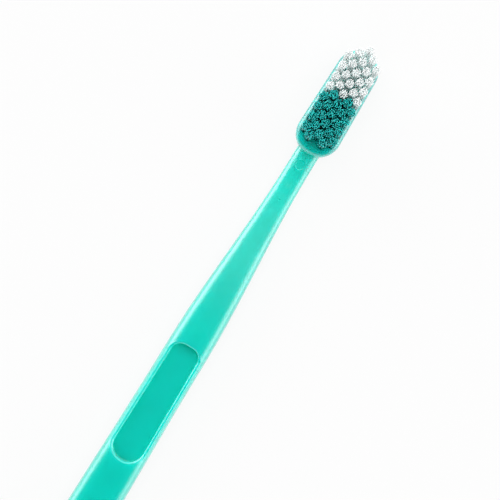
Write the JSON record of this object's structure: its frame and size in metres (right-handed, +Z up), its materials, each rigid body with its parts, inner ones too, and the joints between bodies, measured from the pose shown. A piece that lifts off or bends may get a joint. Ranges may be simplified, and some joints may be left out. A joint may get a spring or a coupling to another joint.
{
  "type": "manual toothbrush",
  "caption": "Straight manual toothbrush: one moulded handle, neck and head with a thumb recess, and upright filament tufts in two colours, stapled into blind holes",
  "frame": {"origin": "on the surface that the brush lies on, in the middle of its length and width", "axes": "+Z up, from the flat back towards the tips of the tufts; +Y along the handle towards the head; +X across the handle"},
  "size_m": [0.0118, 0.188, 0.0171],
  "materials": {
    "turquoise_plastic": "satin, slightly translucent moulded plastic",
    "teal_filament": "bundled nylon filaments, slightly translucent",
    "white_filament": "bundled nylon filaments, slightly translucent",
    "anchor_wire": "cut flat wire"
  },
  "bodies": {
    "root": {"body": "turquoise_plastic", "teal_tuft_01": "teal_filament", "teal_tuft_02": "teal_filament", "teal_tuft_03": "teal_filament", "teal_tuft_04": "teal_filament", "teal_tuft_05": "teal_filament", "teal_tuft_06": "teal_filament", "teal_tuft_07": "teal_filament", "teal_tuft_08": "teal_filament", "teal_tuft_09": "teal_filament", "teal_tuft_10": "teal_filament", "teal_tuft_11": "teal_filament", "teal_tuft_12": "teal_filament", "teal_tuft_13": "teal_filament", "teal_tuft_14": "teal_filament", "teal_tuft_15": "teal_filament", "teal_tuft_16": "teal_filament", "teal_tuft_17": "teal_filament", "teal_tuft_18": "teal_filament", "teal_tuft_19": "teal_filament", "teal_tuft_20": "teal_filament", "teal_tuft_21": "teal_filament", "teal_tuft_22": "teal_filament", "tuft_anchors": "anchor_wire", "white_tuft_01": "white_filament", "white_tuft_02": "white_filament", "white_tuft_03": "white_filament", "white_tuft_04": "white_filament", "white_tuft_05": "white_filament", "white_tuft_06": "white_filament", "white_tuft_07": "white_filament", "white_tuft_08": "white_filament", "white_tuft_09": "white_filament", "white_tuft_10": "white_filament", "white_tuft_11": "white_filament", "white_tuft_12": "white_filament", "white_tuft_13": "white_filament", "white_tuft_14": "white_filament", "white_tuft_15": "white_filament", "white_tuft_16": "white_filament", "white_tuft_17": "white_filament", "white_tuft_18": "white_filament", "white_tuft_19": "white_filament", "white_tuft_20": "white_filament", "white_tuft_21": "white_filament"}
  },
  "joints": []
}
